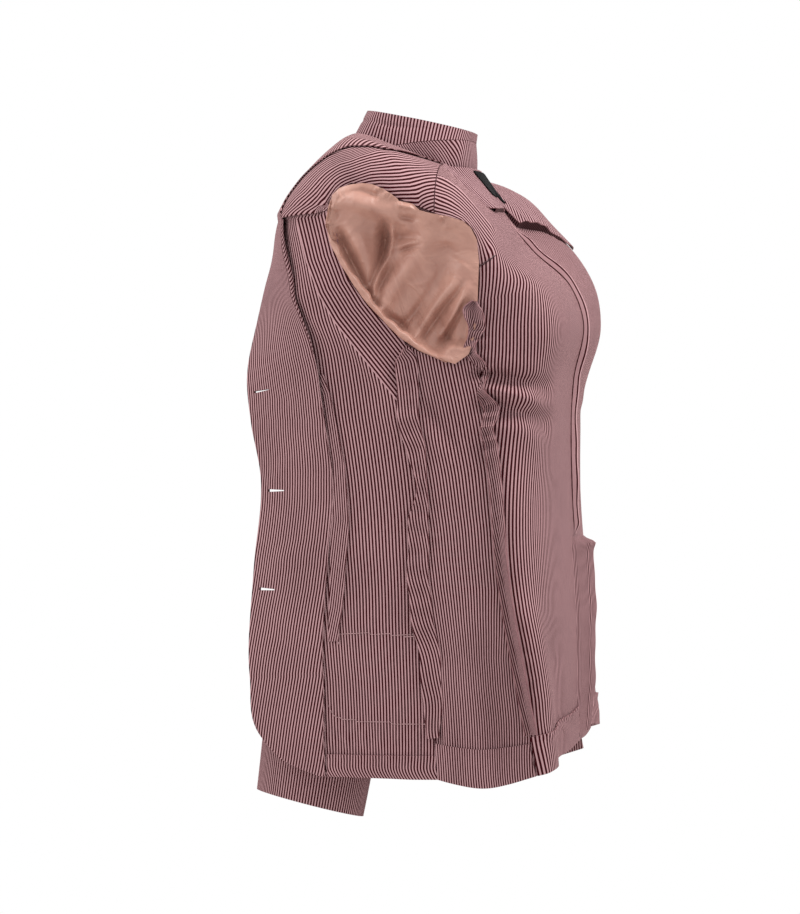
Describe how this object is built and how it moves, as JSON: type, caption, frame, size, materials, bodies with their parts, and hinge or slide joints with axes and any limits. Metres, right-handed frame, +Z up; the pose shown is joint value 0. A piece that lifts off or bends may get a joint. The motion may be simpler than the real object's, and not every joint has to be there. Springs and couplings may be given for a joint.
{
  "type": "blazer",
  "caption": "Short striped blazer worn inside out and back to front: upright collar, open armholes with sleeve lining, seam allowances and hem turn-ups outside, cuff below the hem.",
  "frame": {"origin": "middle of the neck base, where the wearer's neck and shoulders carry the garment", "axes": "+Z up, the wearer faces -Y, the wearer's right side is -X; the jacket's own fronts hang at +Y"},
  "size_m": [0.409, 0.3396, 0.7268],
  "materials": {
    "striped_cotton": "fine dark and light stripes, matt",
    "cotton_trim": "the same striped cotton, wrong side out",
    "sleeve_lining": "smooth pink lining with a soft sheen",
    "label_tape": "plain black woven tape, blank",
    "button": "satin, dark brown"
  },
  "bodies": {
    "root": {"front_right": "striped_cotton", "front_left": "striped_cotton", "side_right": "striped_cotton", "side_left": "striped_cotton", "back_right": "striped_cotton", "back_left": "striped_cotton", "sleeve_right": "striped_cotton", "sleeve_left": "striped_cotton", "pocket_right": "striped_cotton", "pocket_left": "striped_cotton", "facing_right": "cotton_trim", "facing_left": "cotton_trim", "neck_facing": "cotton_trim", "collar_stand": "cotton_trim", "collar_leaf": "cotton_trim", "hem_front_right": "cotton_trim", "hem_front_left": "cotton_trim", "hem_side_right": "cotton_trim", "hem_side_left": "cotton_trim", "hem_back_right": "cotton_trim", "hem_back_left": "cotton_trim", "allowance_front_right": "cotton_trim", "allowance_front_left": "cotton_trim", "allowance_back_right": "cotton_trim", "allowance_back_left": "cotton_trim", "allowance_centre": "cotton_trim", "vent": "cotton_trim", "lining_right": "sleeve_lining", "lining_left": "sleeve_lining", "lining_edge_right": "sleeve_lining", "lining_edge_left": "sleeve_lining", "neck_label": "label_tape", "button_1": "button", "button_2": "button", "button_3": "button"}
  },
  "joints": []
}
